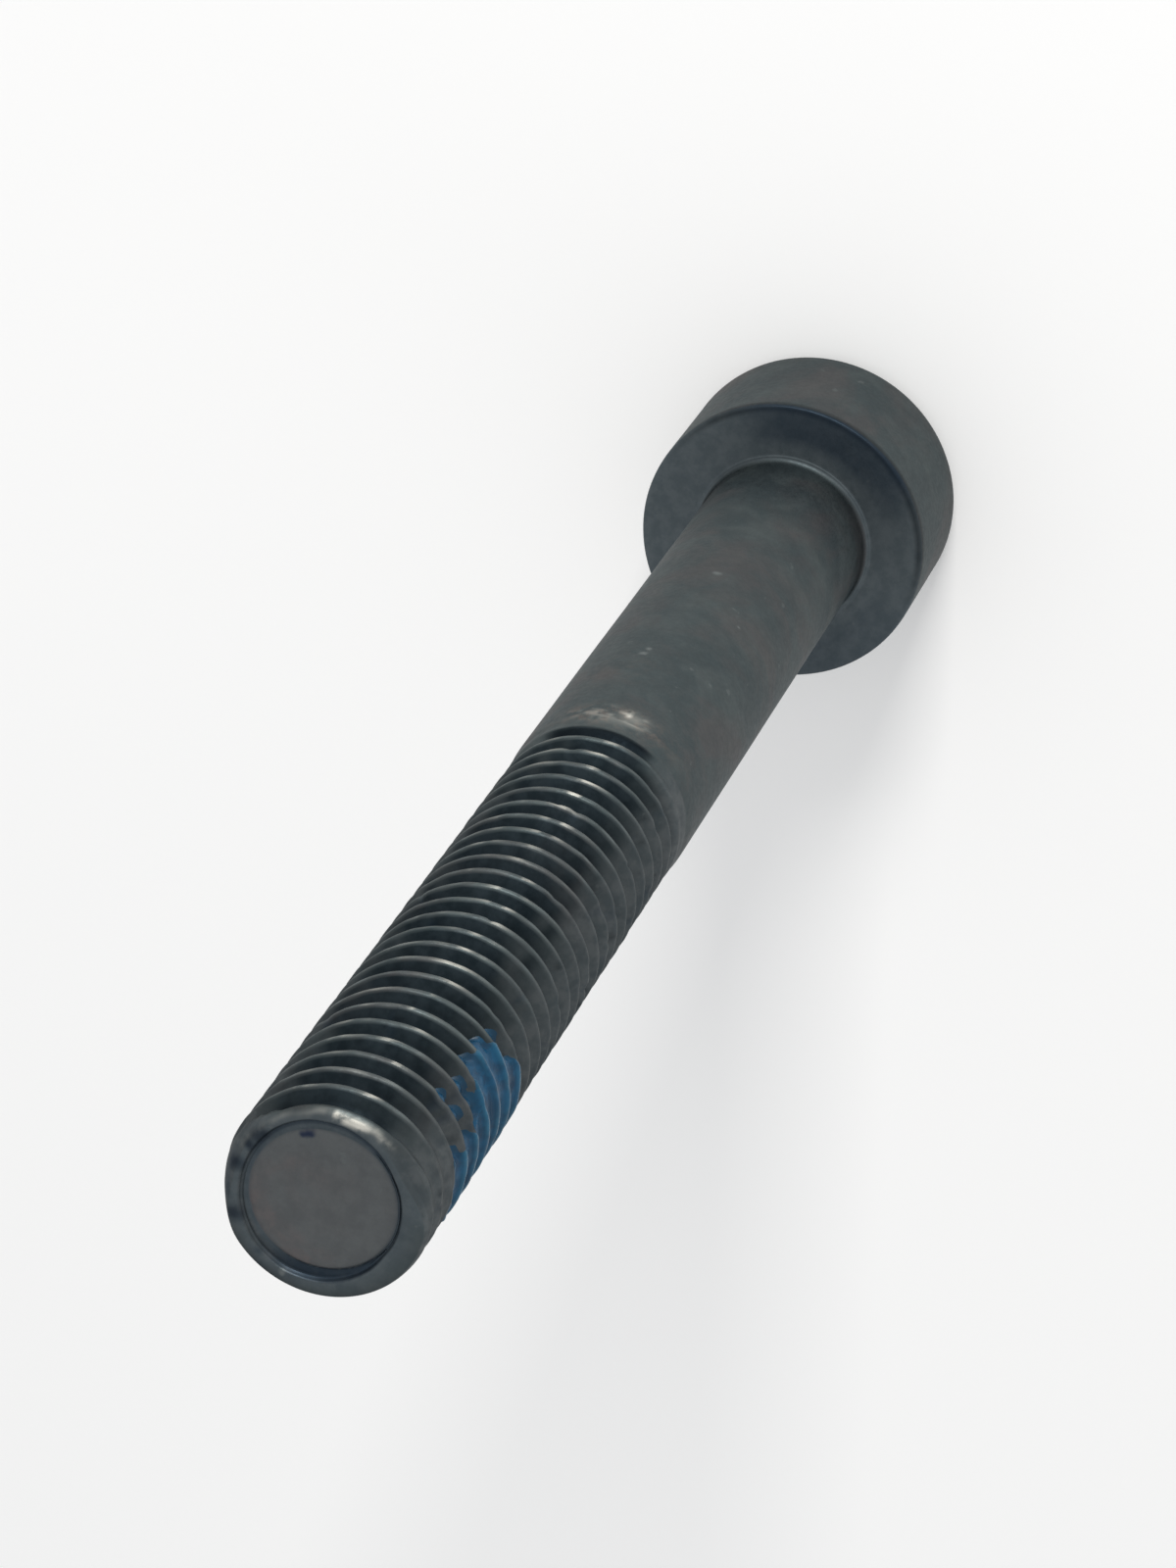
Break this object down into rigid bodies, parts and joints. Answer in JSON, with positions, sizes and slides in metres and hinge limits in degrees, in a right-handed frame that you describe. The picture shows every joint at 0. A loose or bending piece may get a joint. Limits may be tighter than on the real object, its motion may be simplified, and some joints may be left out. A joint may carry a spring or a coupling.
{
  "type": "socket head cap screw",
  "caption": "Steel machine screw with a tall cylindrical head, a hex socket, a part-threaded shank and a nylon locking patch on its thread.",
  "frame": {"origin": "centre of the bearing face under the head, on the screw's own axis", "axes": "+Z along the screw's axis from the head towards the tip, the locking patch on the -Y side; the screw stands on its head, with the socket's mouth on the floor at z = -0.006 m"},
  "size_m": [0.01, 0.01, 0.056],
  "materials": {
    "black_steel": "black oxide on alloy steel, satin, slightly worn on edges and crests",
    "blue_nylon": "thin fused nylon coat, matt, ragged at its edges"
  },
  "bodies": {
    "root": {"screw": "black_steel", "locking_patch": "blue_nylon"}
  },
  "joints": []
}
